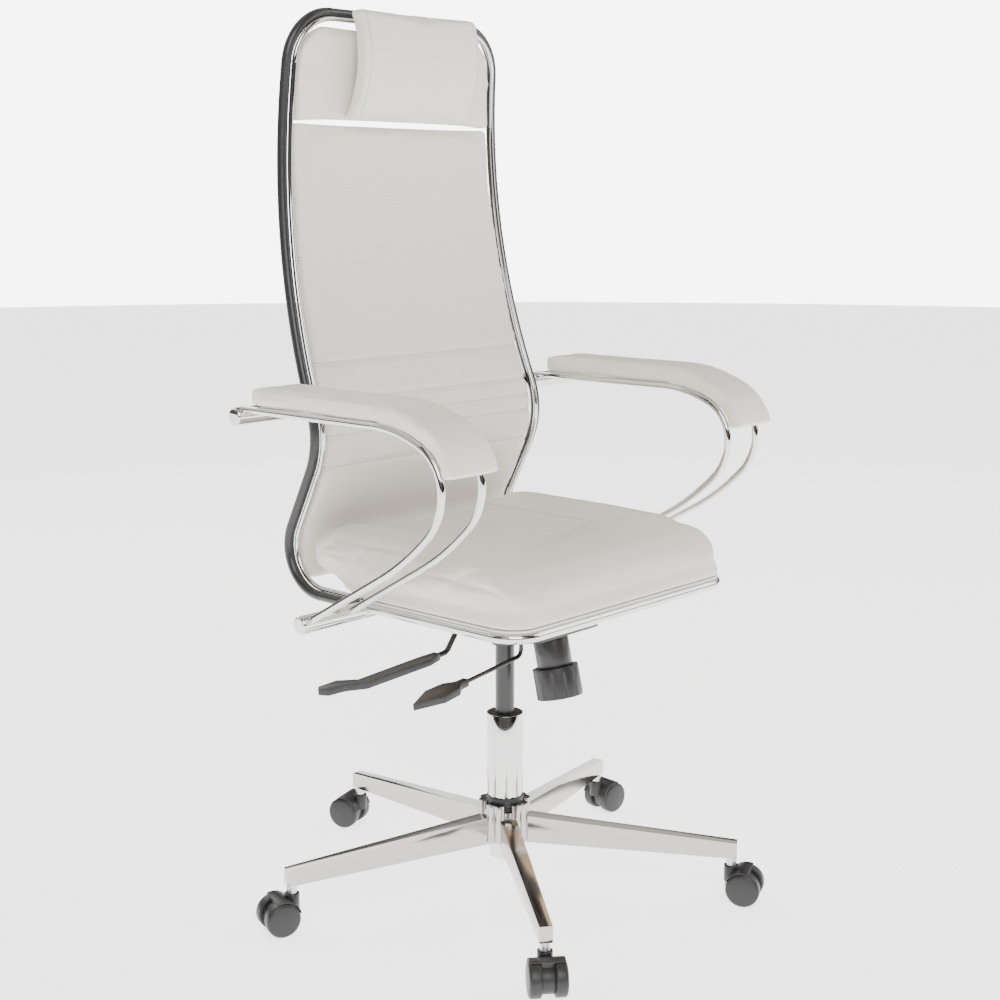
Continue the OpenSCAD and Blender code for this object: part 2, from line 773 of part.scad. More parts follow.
module tension_bolt() {
    color("#a5a7aa") tension_axis() {
        translate([0, 0, -sheet - 6]) cylinder(d = 18, h = 6, $fn = 6);
        translate([0, 0, -sheet]) cylinder(d = 10, h = sheet + cup_l + knob_l - 12);
    }
}

module tension_knob() {
    lap = 6;
    color("#111112") tension_axis() translate([0, 0, cup_l - lap]) difference() {
        cylinder(d = knob_d, h = knob_l);
        translate([0, 0, -1]) cylinder(d = cup_d + 2, h = lap + 2);
        cylinder(d = 10 + 2 * run, h = knob_l - 5);
        for (a = [0 : 30 : 330]) rotate([0, 0, a]) translate([knob_d / 2 + 1.4, 0, 8])
            cylinder(d = 5, h = knob_l);
    }
}

// A lever rod in the XZ plane: eye on its pin, drop, bend, run to the paddle
module lever_rod(x, y, d, drop_a, drop_l, bend_r, run_a, run_l) {
    s = [x, lever_z - 4, -90 - drop_a];
    segs = [[drop_l, 0], [bend_r, -(90 - drop_a - run_a)], [run_l, 0]];
    difference() {
        union() {
            translate([x, y - 5.6, lever_z]) rotate([-90, 0, 0]) cylinder(d = 13, h = 11.2);
            translate([0, y, 0]) rotate([90, 0, 0]) tube_path(s, segs, d);
        }
        translate([x, y - 20, lever_z]) rotate([-90, 0, 0]) cylinder(d = 6 + 2 * run, h = 40);
    }
}

height_run = 122;
lock_run = 40;
module height_lever_rod() {
    color("#1b1b1c") lever_rod(lever_x, lever_y, lever_d, 0, mech_drop - 47, 10, 7, height_run);
}

module tilt_lever_rod() {
    color("#1b1b1c") lever_rod(lock_x, lock_y, lock_d, 38, 46, 12, 6, lock_run);
}

height_end = trace([lever_x, lever_z - 4, -90], [[mech_drop - 47, 0], [10, -83], [height_run, 0]], 3);
lock_end = trace([lock_x, lever_z - 4, -128], [[46, 0], [12, -46], [lock_run, 0]], 3);

module height_lever_paddle() {
    color("#141415") translate([height_end[0], lever_y, height_end[1]]) rotate([0, -7, 0])
        difference() {
            translate([0, 0, -5]) linear_extrude(height = 10)
                polygon([[16, -5], [16, 5], [0, 6], [-14, 17], [-45, 19], [-68, 9], [-88, 0],
                    [-68, -9], [-45, -19], [-14, -17], [0, -6]]);
            rotate([0, 90, 0]) cylinder(d = lever_d, h = 60);
        }
}

module tilt_lever_paddle() {
    color("#141415") translate([lock_end[0], lock_y, lock_end[1]]) rotate([0, -6, 0])
        difference() {
            translate([0, 0, -5]) linear_extrude(height = 10)
                polygon([[26, -6], [26, 6], [0, 11], [-110, 22], [-130, 46], [-160, 50],
                    [-166, 44], [-160, 30], [-136, 22], [-112, 2], [0, -11]]);
            rotate([0, 90, 0]) cylinder(d = lock_d, h = 80);
        }
}

// Seat plate with ears on the tilt axle
module seat_plate() {
    ear_x = mech_x + 0.5;
    color("#232325") difference() {
        union() {
            translate([-80, -150, board_z - sheet]) cube([160, 186, sheet]);
            for (s = [0, 1]) mirror([s, 0, 0]) translate([ear_x, 0, 0]) side_plane()
                linear_extrude(height = 4) polygon([[-60, board_z - sheet], [32, board_z - sheet],
                    [pivot_y + 11, pivot_z + 4], [pivot_y + 11, pivot_z - 2], [pivot_y + 6, pivot_z - 11],
                    [pivot_y - 6, pivot_z - 11], [pivot_y - 13, pivot_z + 2]]);
        }
        translate([-100, pivot_y, pivot_z]) rotate([0, 90, 0]) cylinder(d = pivot_d + 4, h = 200);
        for (x = screw_x, y = screw_y) translate([x, y, board_z - sheet - 1])
            cylinder(d = 6, h = 10);
    }
}

module axle_bushes() {
    color("#dcdcd6") for (s = [0, 1]) mirror([s, 0, 0])
        translate([mech_x + 0.4, pivot_y, pivot_z]) rotate([0, 90, 0]) difference() {
            cylinder(d = pivot_d + 4, h = 4.6);
            translate([0, 0, -1]) cylinder(d = pivot_d + 2 * run, h = 10);
        }
}

module mounting_screws() {
    color("#8f9194") for (x = screw_x, y = screw_y) translate([x, y, board_z - sheet]) {
        translate([0, 0, -4]) cylinder(d = 12, h = 4);
        cylinder(d = 6, h = sheet + screw_in);
    }
}

module arm_rods_left() { arm_rods(1); }
module arm_rods_right() { arm_rods(-1); }
module arm_pad_left() { arm_pad(1); }
module arm_pad_right() { arm_pad(-1); }

star_base();
castor_stems();
column_tube();
column_sleeve();
hub_ring();
guide_bush();
piston_rod();
rod_end_washers();
lift_stem();
valve_pin();
tilt_housing();
pivot_axle();
lever_pins();
tension_cup();
tension_spring();
tension_bolt();
tension_knob();
height_lever_rod();
height_lever_paddle();
tilt_lever_rod();
tilt_lever_paddle();
axle_bushes();
seat_plate();
seat_board();
seat_cushion();
seat_gasket();
seat_rim();
lower_cross_tube();
upper_cross_tube();
tube_caps();
back_frame();
back_bead();
back_panel();
head_panel();
head_pillow();
arm_rods_left();
arm_rods_right();
arm_pad_left();
arm_pad_right();
mounting_screws();
for (i = [0 : 4]) {
    castor_hood(i);
    castor_axle(i);
    castor_wheel(i, 1);
    castor_wheel(i, -1);
}
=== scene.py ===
"""High-back office swivel chair: padding, finishes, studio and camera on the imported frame."""

from __future__ import annotations

import json
import logging
import math
from dataclasses import dataclass, field
from enum import Enum
from typing import Callable, Sequence, Union

import bmesh
import bpy
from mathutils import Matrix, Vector

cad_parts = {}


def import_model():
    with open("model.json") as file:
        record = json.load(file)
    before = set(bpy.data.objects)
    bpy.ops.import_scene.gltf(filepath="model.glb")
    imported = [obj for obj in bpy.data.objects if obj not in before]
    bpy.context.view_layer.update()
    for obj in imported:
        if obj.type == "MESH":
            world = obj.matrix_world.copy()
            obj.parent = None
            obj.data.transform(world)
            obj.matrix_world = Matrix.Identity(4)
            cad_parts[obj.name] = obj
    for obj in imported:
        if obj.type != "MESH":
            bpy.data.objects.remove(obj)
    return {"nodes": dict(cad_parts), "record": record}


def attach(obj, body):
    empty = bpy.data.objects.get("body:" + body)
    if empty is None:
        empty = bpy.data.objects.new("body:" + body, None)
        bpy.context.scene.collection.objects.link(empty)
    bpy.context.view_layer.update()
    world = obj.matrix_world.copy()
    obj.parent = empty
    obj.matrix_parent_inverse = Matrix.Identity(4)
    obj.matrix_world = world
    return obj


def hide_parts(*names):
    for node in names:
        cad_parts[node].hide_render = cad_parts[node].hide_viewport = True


LOG = logging.getLogger("chair")
Number = Union[float, "Signal"]
Point = tuple[float, float, float]
Path = Sequence[Point]

# Above this height the seat cushion is its top, in metres
SEAT_TOP = 0.515


# Shader wiring


class Board:
    """One material's node tree, with a single method that adds nodes."""

    def __init__(self, name: str) -> None:
        """Make the material with an empty tree.

        Args:
            name: The material's name.
        """
        self.material = bpy.data.materials.new(name)
        self.material.use_nodes = True
        self.tree = self.material.node_tree
        self.tree.nodes.clear()

    def node(self, kind: str, settings: dict | None = None, inputs: dict | None = None) -> bpy.types.Node:
        """Add a node, its settings first and then its inputs.

        Args:
            kind: The node's type.
            settings: Properties set before the inputs.
            inputs: Socket names or indices with values, sockets or signals.

        Returns:
            The new node.
        """
        made = self.tree.nodes.new(kind)
        for key, value in (settings or {}).items():
            setattr(made, key, value)
        for key, value in (inputs or {}).items():
            if isinstance(value, Signal):
                value = value.socket
            if isinstance(value, bpy.types.NodeSocket):
                self.tree.links.new(value, made.inputs[key])
            else:
                made.inputs[key].default_value = value
        return made

    def place(self) -> tuple["Signal", "Signal", "Signal", bpy.types.NodeSocket]:
        """Read the object coordinates.

        Returns:
            The x, y and z signals in metres, and the vector socket.
        """
        here = self.node("ShaderNodeTexCoord").outputs["Object"]
        parts = self.node("ShaderNodeSeparateXYZ", inputs={0: here}).outputs
        x, y, z = (Signal(self, socket) for socket in parts)
        return x, y, z, here

    def noise(self, vector: bpy.types.NodeSocket, scale: float, detail: float = 2.0) -> "Signal":
        """Return fractal noise between 0 and 1 at a scale per metre."""
        made = self.node("ShaderNodeTexNoise", inputs={"Vector": vector, "Scale": scale, "Detail": detail})
        return Signal(self, made.outputs[0])

    def cells(self, vector: bpy.types.NodeSocket, scale: float) -> "Signal":
        """Return the distance to the nearest cell centre at a scale per metre."""
        made = self.node("ShaderNodeTexVoronoi", inputs={"Vector": vector, "Scale": scale})
        return Signal(self, made.outputs["Distance"])

    def blend(self, amount: "Signal", low: Sequence[float], high: Sequence[float]) -> bpy.types.NodeSocket:
        """Mix two colours.

        Args:
            amount: The mix factor.
            low: Colour at factor 0.
            high: Colour at factor 1.

        Returns:
            The colour socket.
        """
        made = self.node("ShaderNodeMix", {"data_type": "RGBA"}, {0: amount, 6: (*low, 1.0), 7: (*high, 1.0)})
        return made.outputs[2]

    def bump(self, height: "Signal", depth: float, strength: float = 1.0) -> bpy.types.NodeSocket:
        """Turn a height signal into a normal of the given depth in metres."""
        made = self.node("ShaderNodeBump", inputs={"Height": height, "Distance": depth, "Strength": strength})
        return made.outputs[0]

    def surface(self, fixed: dict, varying: dict) -> bpy.types.Material:
        """Close the tree with a Principled surface.

        Args:
            fixed: Socket names with plain values.
            varying: Socket names with sockets or signals.

        Returns:
            The finished material.
        """
        shader = self.node("ShaderNodeBsdfPrincipled", inputs={**fixed, **varying})
        self.node("ShaderNodeOutputMaterial", inputs={"Surface": shader.outputs[0]})
        return self.material


class Signal:
    """A number carried by a shader socket, with Python arithmetic."""

    def __init__(self, board: Board, socket: bpy.types.NodeSocket) -> None:
        """Wrap a socket of a board."""
        self.board = board
        self.socket = socket

    def maths(self, operation: str, *others: Number, clamp: bool = False) -> "Signal":
        """Add a Math node.

        Args:
            operation: The node's operation.
            *others: Further operands.
            clamp: Whether the result is held between 0 and 1.

        Returns:
            The result's signal.
        """
        values = dict(enumerate((self, *others)))
        made = self.board.node("ShaderNodeMath", {"operation": operation, "use_clamp": clamp}, values)
        return Signal(self.board, made.outputs[0])

    def reflected(self, operation: str, other: float) -> "Signal":
        """Add a Math node whose first operand is a plain number."""
        made = self.board.node("ShaderNodeMath", {"operation": operation}, {0: other, 1: self})
        return Signal(self.board, made.outputs[0])

    def __add__(self, other: Number) -> "Signal":
        """Return the sum."""
        return self.maths("ADD", other)

    __radd__ = __add__

    def __mul__(self, other: Number) -> "Signal":
        """Return the product."""
        return self.maths("MULTIPLY", other)

    __rmul__ = __mul__

    def __sub__(self, other: Number) -> "Signal":
        """Return the difference."""
        return self.maths("SUBTRACT", other)

    def __rsub__(self, other: float) -> "Signal":
        """Return the reflected difference."""
        return self.reflected("SUBTRACT", other)

    def __abs__(self) -> "Signal":
        """Return the absolute value."""
        return self.maths("ABSOLUTE")

    def cosine(self) -> "Signal":
        """Return the cosine."""
        return self.maths("COSINE")

    def least(self, other: Number) -> "Signal":
        """Return the smaller of two values."""
        return self.maths("MINIMUM", other)

    def most(self, other: Number) -> "Signal":
        """Return the larger of two values."""
        return self.maths("MAXIMUM", other)

    def ramp(self, low: float, high: float) -> "Signal":
        """Rise smoothly from 0 at low to 1 at high."""
        made = self.board.node(
            "ShaderNodeMapRange", {"interpolation_type": "SMOOTHSTEP"}, {0: self, 1: low, 2: high, 3: 0.0, 4: 1.0}
        )
        return Signal(self.board, made.outputs[0])


# Finishes


@dataclass(frozen=True)
class Metal:
    """A plated, polished or turned metal with fine haze and hairlines."""

    name: str
    colour: tuple[float, float, float]
    roughness: float
    haze: float = 0.03
    dent: float = 0.00002

    def make(self) -> bpy.types.Material:
        """Return the material."""
        board = Board(self.name)
        _, _, _, here = board.place()
        cloud = board.noise(here, 22.0, 3.0)
        hair = board.noise(board.node("ShaderNodeMapping", inputs={0: here, 3: (900.0, 900.0, 60.0)}).outputs[0], 1.0)
        dull = tuple(c * 0.93 for c in self.colour)
        return board.surface(
            {"Metallic": 1.0},
            {
                "Base Color": board.blend(cloud, dull, self.colour),
                "Roughness": cloud * self.haze + hair * (self.haze * 0.5) + (self.roughness - self.haze * 0.7),
                "Normal": board.bump(hair + cloud, self.dent, 0.35),
            },
        )


@dataclass(frozen=True)
class Moulded:
    """A painted or moulded dark surface with a fine grain."""

    name: str
    colour: tuple[float, float, float]
    roughness: float
    grain: float = 1400.0
    relief: float = 0.00006
    coat: float = 0.0

    def make(self) -> bpy.types.Material:
        """Return the material."""
        board = Board(self.name)
        _, _, _, here = board.place()
        cloud = board.noise(here, 30.0, 3.0)
        fine = board.noise(here, self.grain, 1.0)
        light = tuple(min(1.0, c * 1.35 + 0.004) for c in self.colour)
        return board.surface(
            {"Coat Weight": self.coat, "Coat Roughness": 0.18},
            {
                "Base Color": board.blend(cloud, self.colour, light),
                "Roughness": cloud * 0.10 + fine * 0.06 + (self.roughness - 0.08),
                "Normal": board.bump(fine, self.relief, 0.5),
            },
        )


@dataclass(frozen=True)
class Plywood:
    """Birch plywood, its plies showing on the edge."""

    name: str

    def make(self) -> bpy.types.Material:
        """Return the material."""
        board = Board(self.name)
        _, _, z, here = board.place()
        stretched = board.node("ShaderNodeMapping", inputs={0: here, 3: (90.0, 6.0, 40.0)})
        grain = board.noise(stretched.outputs[0], 1.0, 4.0)
        ply = (z * (2 * math.pi / 0.0024)).cosine() * 0.25 + 0.5
        return board.surface(
            {},
            {
                "Base Color": board.blend(grain * 0.7 + ply * 0.3, (0.46, 0.30, 0.17), (0.70, 0.53, 0.34)),
                "Roughness": grain * 0.2 + 0.5,
                "Normal": board.bump(grain, 0.0002, 0.4),
            },
        )


@dataclass(frozen=True)
class Cover:
    """Cream leather, woven fabric, or leather with a woven panel let in."""

    name: str
    leather: tuple[float, float, float] = (0.80, 0.755, 0.68)
    cloth: tuple[float, float, float] = (0.80, 0.76, 0.695)
    panel: Callable[["Signal", "Signal", "Signal"], "Signal"] | None = None
    flat: bool = False
    seams: Callable[["Signal", "Signal", "Signal"], "Signal"] | None = None

    def make(self) -> bpy.types.Material:
        """Return the material."""
        board = Board(self.name)
        x, y, z, here = board.place()
        along = y if self.flat else z
        weave = (x * (math.pi / 0.0023)).cosine() * (along * (math.pi / 0.0019)).cosine()
        holes = weave.ramp(0.45, 0.95)
        thread = (x * (2 * math.pi / 0.0011) + along * (2 * math.pi / 0.0013)).cosine()
        pores = board.cells(here, 620.0)
        crease = board.noise(here, 55.0, 4.0)
        cloud = board.noise(here, 7.0, 3.0)
        skin = pores * 0.5 + crease * 0.8
        fabric = thread * 0.15 - holes
        dark = tuple(c * 0.95 for c in self.leather)
        hide = board.blend(cloud, dark, self.leather)
        # The weave's holes are painted at about half the cloth's colour: painted shade in the gaps between the
        # threads.
        woven = board.blend(holes, self.cloth, tuple(c * 0.52 for c in self.cloth))
        mask = self.panel(x, y, z) if self.panel else None
        if mask is None:
            colour, height, rough = hide, skin * 0.35, crease * 0.10 + 0.38
        else:
            colour = board.node("ShaderNodeMix", {"data_type": "RGBA"}, {0: mask, 6: hide, 7: woven}).outputs[2]
            height = skin * 0.35 * (1 - mask) + fabric * mask
            rough = crease * 0.10 + 0.38 + mask * 0.38
        if self.seams:
            line = self.seams(x, y, z)
            made = board.node(
                "ShaderNodeMix", {"data_type": "RGBA"}, {0: line * 0.55, 6: colour, 7: (0.30, 0.27, 0.23, 1.0)}
            )
            colour, height = made.outputs[2], height - line * 1.5
        return board.surface(
            {"Sheen Weight": 0.12, "Sheen Roughness": 0.5, "IOR": 1.45},
            {"Base Color": colour, "Roughness": rough, "Normal": board.bump(height, 0.00035, 0.6)},
        )


class Finish(Enum):
    """The chair's plain finishes."""

    CHROME = Metal("chrome", (0.70, 0.69, 0.68), 0.05, 0.02)
    ALUMINIUM = Metal("polished_aluminium", (0.46, 0.44, 0.42), 0.12, 0.05, 0.00003)
    STEEL = Metal("satin_steel", (0.60, 0.61, 0.62), 0.28, 0.08)
    PAINT = Moulded("black_paint", (0.012, 0.012, 0.013), 0.36, 900.0, 0.00004, 0.2)
    NYLON = Moulded("black_plastic", (0.010, 0.010, 0.011), 0.42)
    ACETAL = Moulded("white_acetal", (0.74, 0.73, 0.70), 0.40)
    PLY = Plywood("plywood")


# Shared shaping tools


def copy_of(node: str, name: str) -> bpy.types.Object:
    """Copy a CAD node's mesh into a new object with its doubles merged.

    Args:
        node: The CAD node.
        name: The new object's name.

    Returns:
        The linked object.
    """
    mesh = FRAME["nodes"][node].data.copy()
    mesh.materials.clear()
    shape = bmesh.new()
    shape.from_mesh(mesh)
    bmesh.ops.remove_doubles(shape, verts=shape.verts, dist=1e-5)
    shape.to_mesh(mesh)
    shape.free()
    made = bpy.data.objects.new(name, mesh)
    bpy.context.scene.collection.objects.link(made)
    return made


def baked(piece: bpy.types.Object) -> None:
    """Apply a piece's live modifiers to its mesh."""
    graph = bpy.context.evaluated_depsgraph_get()
    mesh = bpy.data.meshes.new_from_object(piece.evaluated_get(graph))
    piece.modifiers.clear()
    piece.data = mesh


def smooth(piece: bpy.types.Object) -> None:
    """Shade every face of a piece smoothly."""
    piece.data.polygons.foreach_set("use_smooth", [True] * len(piece.data.polygons))


def dress(piece: bpy.types.Object, material: bpy.types.Material) -> None:
    """Give a piece one material in all of its slots."""
    piece.data.materials.clear()
    piece.data.materials.append(material)
    piece.data.polygons.foreach_set("material_index", [0] * len(piece.data.polygons))


def bevelled(node: str, width: float, segments: int = 2, angle: float = 28.0) -> bpy.types.Object:
    """Copy a CAD node with its hard edges rounded.

    Args:
        node: The CAD node that the copy stands for.
        width: The bevel's width in metres.
        segments: The bevel's segments.
        angle: Edges sharper than this many degrees are rounded.

    Returns:
        The rounded piece.
    """
    piece = copy_of(node, f"{node}_smooth")
    shape = bmesh.new()
    shape.from_mesh(piece.data)
    bmesh.ops.dissolve_limit(shape, angle_limit=math.radians(1.0), verts=shape.verts, edges=shape.edges)
    sharp = [e for e in shape.edges if len(e.link_faces) == 2 and e.calc_face_angle(0.0) > math.radians(angle)]
    bmesh.ops.bevel(
        shape, geom=sharp, offset=width, offset_type="OFFSET", segments=segments, profile=0.5,
        affect="EDGES", clamp_overlap=True, material=-1,
    )
    bmesh.ops.triangulate(shape, faces=[f for f in shape.faces if len(f.verts) > 4])
    shape.to_mesh(piece.data)
    shape.free()
    smooth(piece)
    piece.data.set_sharp_from_angle(angle=math.radians(32.0))
    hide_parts(node)
    return piece


def reshape(piece: bpy.types.Object, rule: Callable[[Vector, Vector], Vector]) -> None:
    """Move every vertex of a piece by a rule.

    Args:
        piece: The piece to reshape.
        rule: Gives a vertex's new place from its place and normal.
    """
    verts = piece.data.vertices
    here = [(v.co.copy(), v.normal.copy()) for v in verts]
    verts.foreach_set("co", [value for place, normal in here for value in rule(place, normal)])
    piece.data.update()


def distance_to(path: Path, point: Vector) -> float:
    """Return the distance from a point to an open path."""
    best = 1e9
    for start, end in zip(path, path[1:]):
        a, b = Vector(start), Vector(end)
        span = b - a
        t = max(0.0, min(1.0, (point - a).dot(span) / max(span.length_squared, 1e-12)))
        best = min(best, (point - a - span * t).length)
    return best


@dataclass
class Padding:
    """How a padded piece is swollen from its CAD solid."""

    voxel: float = 0.005
    shrink: float = 0.003
    rounds: int = 12
    pressure: float = 4.0
    cap: float = 0.008
    fill: float = 0.8
    foot: float = 0.0

    def swell(self, node: str, name: str) -> bpy.types.Object:
        """Remesh, round and inflate a CAD solid, then subdivide it once.

        Args:
            node: The CAD solid.
            name: The new piece's name.

        Returns:
            The padded piece, without live modifiers.
        """
        piece = copy_of(node, name)
        remesh = piece.modifiers.new("remesh", "REMESH")
        remesh.mode, remesh.voxel_size = "VOXEL", self.voxel
        baked(piece)
        plain = [v.co.copy() for v in piece.data.vertices]
        shape = bmesh.new()
        shape.from_mesh(piece.data)
        for _ in range(self.rounds):
            bmesh.ops.smooth_vert(
                shape, verts=shape.verts, factor=0.5, use_axis_x=True, use_axis_y=True, use_axis_z=True
            )
        shape.normal_update()
        for vert in shape.verts:
            vert.co -= vert.normal * self.shrink
        shape.to_mesh(piece.data)
        shape.free()
        self.inflate(piece)
        if self.foot:
            self.seat_foot(piece, plain)
        level = piece.modifiers.new("subdivision", "SUBSURF")
        level.levels = level.render_levels = 1
        baked(piece)
        smooth(piece)
        return piece

    def seat_foot(self, piece: bpy.types.Object, plain: list[Vector]) -> None:
        """Bring the lowest band of a piece back to its unswollen outline."""
        low = min(co.z for co in plain)
        for vert, start in zip(piece.data.vertices, plain):
            share = max(0.0, 1.0 - (start.z - low) / self.foot)
            if share:
                vert.co = vert.co.lerp(start, min(1.0, share * 1.6))

    def inflate(self, piece: bpy.types.Object) -> None:
        """Run the cloth simulation and keep its result within the cap."""
        scene = bpy.context.scene
        rest = [v.co.copy() for v in piece.data.vertices]
        cloth = piece.modifiers.new("cloth", "CLOTH")
        cloth.settings.use_pressure = True
        cloth.settings.uniform_pressure_force = self.pressure
        cloth.settings.effector_weights.gravity = 0.0
        cloth.settings.quality = 4
        cloth.settings.tension_stiffness = cloth.settings.compression_stiffness = 40.0
        for frame in range(1, 21):
            scene.frame_set(frame)
        graph = bpy.context.evaluated_depsgraph_get()
        moved = [v.co.copy() for v in piece.evaluated_get(graph).data.vertices]
        piece.modifiers.clear()
        scene.frame_set(1)
        for vert, start, end in zip(piece.data.vertices, rest, moved):
            step = end - start
            if step.length > self.cap:
                step *= self.cap / step.length
            vert.co = start + step


@dataclass
class Groove:
    """A seam or fold pressed into padding along a path."""

    path: Path
    depth: float
    width: float

    def push(self, place: Vector) -> float:
        """Return how deep the groove is at a place."""
        reach = self.width * 3.0
        for axis in range(3):
            line = [point[axis] for point in self.path]
            if not min(line) - reach < place[axis] < max(line) + reach:
                return 0.0
        return self.depth * math.exp(-((distance_to(self.path, place) / self.width) ** 2))


def press(piece: bpy.types.Object, grooves: Sequence[Groove]) -> None:
    """Press all grooves into a piece at once."""
    reshape(piece, lambda place, normal: place - normal * sum(groove.push(place) for groove in grooves))


# Sub-assemblies


@dataclass
class Seat:
    """The seat cushion, a leather shell with a woven panel let in."""

    padding: Padding = field(default_factory=lambda: Padding(0.005, 0.003, 12, 4.0, 0.007, 0.85, 0.016))
    panel_half: float = 0.112
    panel_front: float = -0.072
    seam_depth: float = 0.0026
    seam_width: float = 0.0042
    split: float = 0.004
    seam_side: Path = (
        (-0.236, 0.160, 0.529), (-0.236, 0.078, 0.532), (-0.236, -0.020, 0.532), (-0.236, -0.119, 0.531),
        (-0.233, -0.187, 0.525), (-0.231, -0.225, 0.514), (-0.206, -0.234, 0.493), (-0.186, -0.234, 0.474),
    )
    fold: Path = (
        (-0.215, 0.150, 0.530), (-0.215, 0.118, 0.538), (-0.215, 0.040, 0.544), (-0.215, -0.045, 0.540),
        (-0.215, -0.099, 0.535),
    )

    def crown(self, place: Vector, _: Vector) -> Vector:
        """Return a vertex's place with the side bolsters raised and the middle dished."""
        x, y, z = place
        top = max(0.0, min(1.0, (z - SEAT_TOP) / 0.02))
        rear = max(0.0, min(1.0, (y + 0.17) / 0.12)) * max(0.0, min(1.0, (0.19 - y) / 0.05))
        bolster = math.exp(-(((abs(x) - 0.178) / 0.045) ** 2))
        dish = max(0.0, 1 - (abs(x) / 0.12) ** 4)
        return Vector((x, y, z + top * rear * (0.010 * bolster - 0.006 * dish)))

    def panel(self, x: Signal, y: Signal, z: Signal) -> Signal:
        """Return the mask of the woven panel."""
        inside = (self.panel_half - abs(x)).ramp(-0.0004, 0.0004)
        behind = (y - self.panel_front).ramp(-0.0004, 0.0004)
        return inside * behind * (z - SEAT_TOP).ramp(-0.001, 0.001)

    def stitching(self, x: Signal, y: Signal, z: Signal) -> Signal:
        """Return the stitched lines round and across the woven panel."""
        edge = abs(abs(x) - self.panel_half)
        middle = abs(x - self.split).most(self.panel_front - y)
        front = abs(y - self.panel_front).most(abs(x) - self.panel_half)
        near = edge.most(self.panel_front - y).least(middle).least(front)
        return (0.0009 - near).ramp(-0.0004, 0.0004) * (z - SEAT_TOP).ramp(-0.001, 0.001)

    def build(self) -> None:
        """Make, press and dress the cushion."""
        piece = self.padding.swell("seat_cushion", "seat_padding")
        reshape(piece, self.crown)
        grooves = [Groove(self.seam_side, 0.0034, 0.0036), Groove(self.fold, 0.0100, 0.0060)]
        grooves += [
            Groove([(-x, y, z) for x, y, z in groove.path], groove.depth, groove.width) for groove in list(grooves)
        ]
        h, f = self.panel_half, self.panel_front
        for side in (-h, self.split, h):
            grooves.append(Groove([(side, f, 0.546), (side, 0.16, 0.542)], self.seam_depth, self.seam_width))
        grooves.append(Groove([(-h, f, 0.546), (h, f, 0.546)], self.seam_depth, self.seam_width))
        press(piece, grooves)
        dress(piece, Cover("seat_cover", panel=self.panel, flat=True, seams=self.stitching).make())
        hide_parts("seat_cushion")
        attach(piece, "seat_and_back")
        LOG.info("seat padding: %d faces", len(piece.data.polygons))


@dataclass
class Back:
    """The woven back, its leather head panel and the head pillow."""

    seams: Sequence[float] = (0.791, 0.740, 0.715, 0.691, 0.646)
    seam_depth: float = 0.0034
    seam_width: float = 0.0046
    body: Padding = field(default_factory=lambda: Padding(0.005, 0.0, 3, 3.0, 0.003, 0.7))
    head: Padding = field(default_factory=lambda: Padding(0.005, -0.0005, 3, 4.0, 0.004, 0.8))
    pillow: Padding = field(default_factory=lambda: Padding(0.004, 0.0005, 6, 4.0, 0.004, 0.8))
    hem: float = 0.108

    def stitching(self, x: Signal, y: Signal, z: Signal) -> Signal:
        """Return the stitched lines across the back."""
        near = abs(z - self.seams[0])
        for height in self.seams[1:]:
            near = near.least(abs(z - height))
        dash = (x * (2 * math.pi / 0.0045)).cosine().ramp(-0.7, -0.2)
        return (0.0008 - near).ramp(-0.0004, 0.0004) * dash

    def whole(self, x: Signal, y: Signal, z: Signal) -> Signal:
        """Return a mask that is woven all over."""
        return (z - 0.0).ramp(-1.0, 0.0)

    def hems(self, x: Signal, y: Signal, z: Signal) -> Signal:
        """Return the pillow's stitched side hems."""
        return (0.0008 - abs(abs(x) - self.hem)).ramp(-0.0004, 0.0004)

    def quilt(self, place: Vector, normal: Vector) -> Vector:
        """Return a vertex's place with the horizontal seams pressed into the front."""
        if normal.y > -0.2:
            return place
        gap = min(abs(place.z - height) for height in self.seams)
        return place - normal * (self.seam_depth * math.exp(-((gap / self.seam_width) ** 2)))

    def build(self) -> None:
        """Make and dress the three padded pieces."""
        panel = self.body.swell("back_panel", "back_padding")
        reshape(panel, self.quilt)
        dress(panel, Cover("back_cover", panel=self.whole, seams=self.stitching).make())
        head = self.head.swell("head_panel", "head_padding")
        dress(head, Cover("head_cover").make())
        pillow = self.pillow.swell("head_pillow", "pillow_padding")
        dress(pillow, Cover("pillow_cover", seams=self.hems).make())
        for piece, node, slot, padding in (
            (panel, "back_panel", "cream_fabric", self.body),
            (head, "head_panel", "cream_leather", self.head),
            (pillow, "head_pillow", "cream_leather", self.pillow),
        ):
            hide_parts(node)
            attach(piece, "seat_and_back")
            LOG.info("%s: %d faces", piece.name, len(piece.data.polygons))


@dataclass
class Armrests:
    """The two leather armrest pads."""

    padding: Padding = field(default_factory=lambda: Padding(0.004, 0.0005, 5, 4.0, 0.003, 0.9))

    def build(self) -> None:
        """Make and dress both pads."""
        cover = Cover("pad_cover").make()
        for side in ("left", "right"):
            piece = self.padding.swell(f"arm_pad_{side}", f"arm_padding_{side}")
            dress(piece, cover)
            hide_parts(f"arm_pad_{side}")
            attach(piece, "seat_and_back")
            LOG.info("%s: %d faces", piece.name, len(piece.data.polygons))


